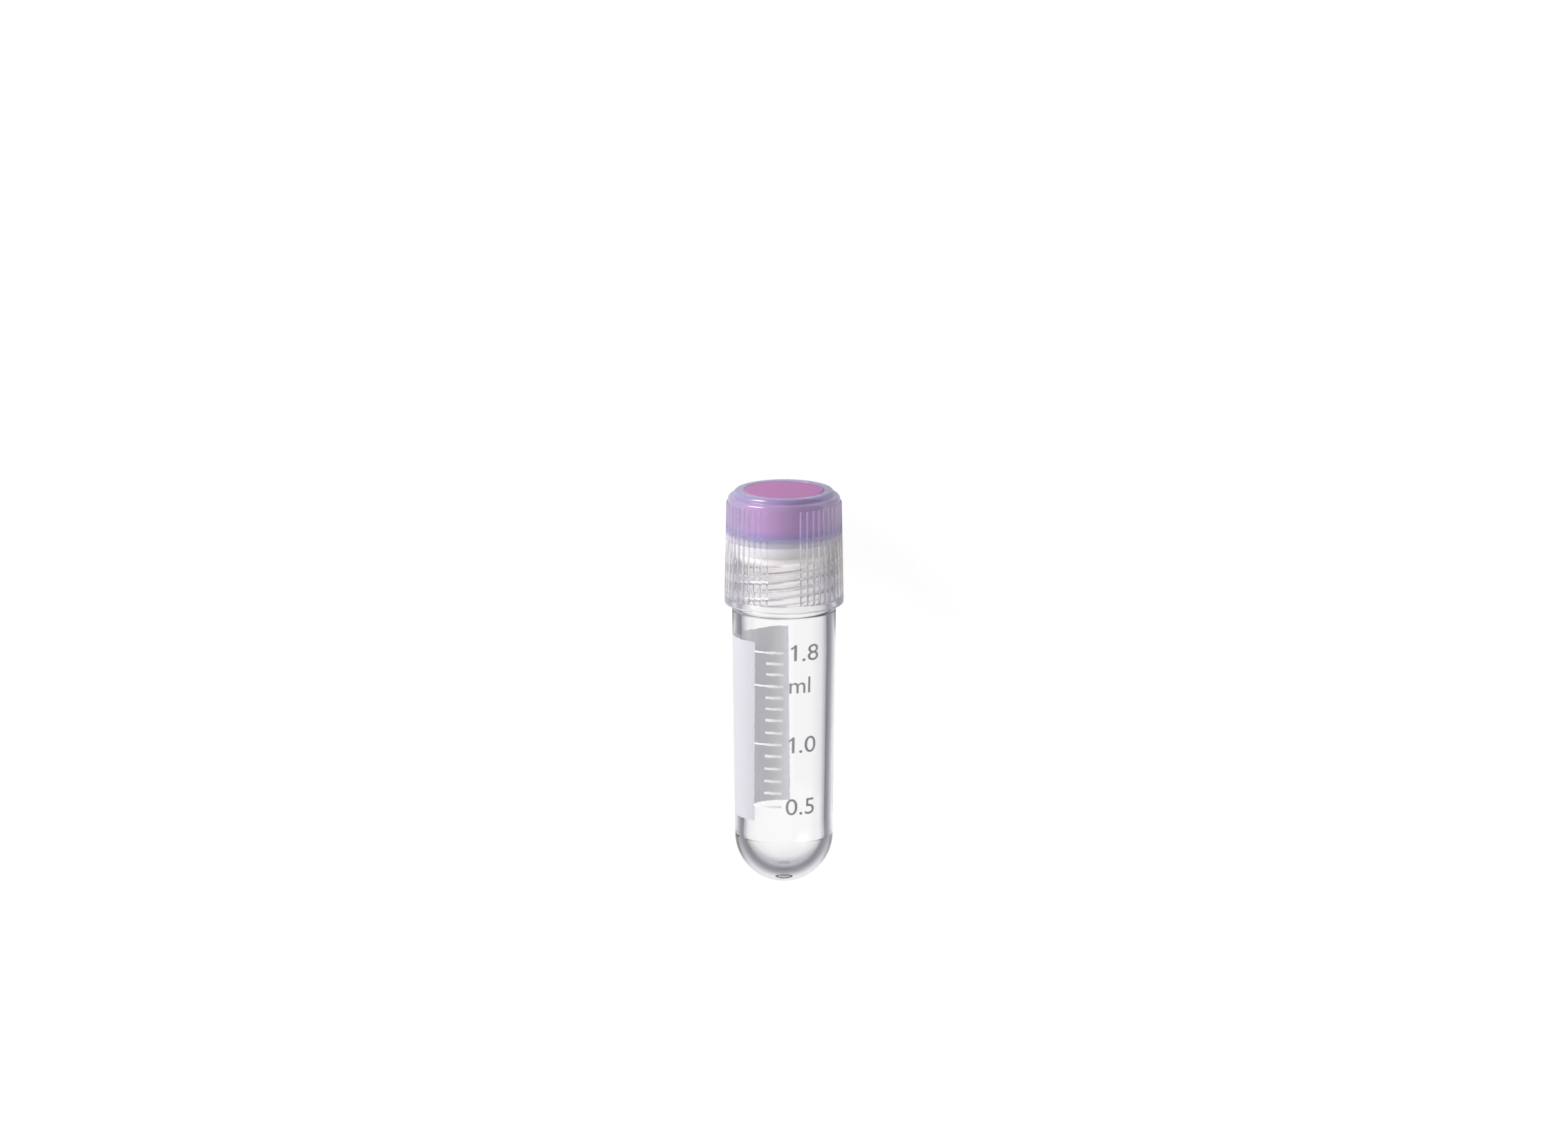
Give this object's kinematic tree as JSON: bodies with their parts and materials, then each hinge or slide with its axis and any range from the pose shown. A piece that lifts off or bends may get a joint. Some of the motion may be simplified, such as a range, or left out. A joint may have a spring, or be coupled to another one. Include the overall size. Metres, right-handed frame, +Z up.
{
  "type": "cryogenic vial",
  "caption": "Round-bottomed translucent plastic vial for frozen samples, with an outside thread, a ribbed screw cap, a coloured cap insert and a soft sealing washer.",
  "frame": {"origin": "centre of the bottom of the object's box, on the surface that it lies on", "axes": "+X along the vial towards its cap, +Z up, with the graduations facing up; the vial's own axis leans 2.5 degrees up towards the cap"},
  "size_m": [0.046, 0.0136, 0.0137],
  "materials": {
    "vial_plastic": "translucent moulded polypropylene, smooth",
    "cap_plastic": "translucent moulded polypropylene, smooth",
    "insert_plastic": "mauve moulded polypropylene, satin",
    "silicone": "white silicone rubber, matt",
    "print_white": "white printing ink, satin",
    "print_grey": "pale grey printing ink, satin"
  },
  "bodies": {
    "vial": {"vial": "vial_plastic"},
    "washer": {"sealing_washer": "silicone"},
    "cap": {"cap": "cap_plastic", "cap_insert": "insert_plastic"}
  },
  "joints": [
    {"name": "cap_lift", "type": "slide", "parent": "vial", "child": "washer", "axis": [0.999, 0, 0.0442], "range_m": [0, 0.0077]},
    {"name": "cap_turn", "type": "hinge", "parent": "washer", "child": "cap", "pos_m": [0.02274, 0, 0.00737], "axis": [0.999, 0, 0.0442], "range_deg": [0, 720]}
  ],
  "couplings": [
    {"joint": "cap_lift", "follows": "cap_turn", "m_per_rad": 0.00060479}
  ]
}
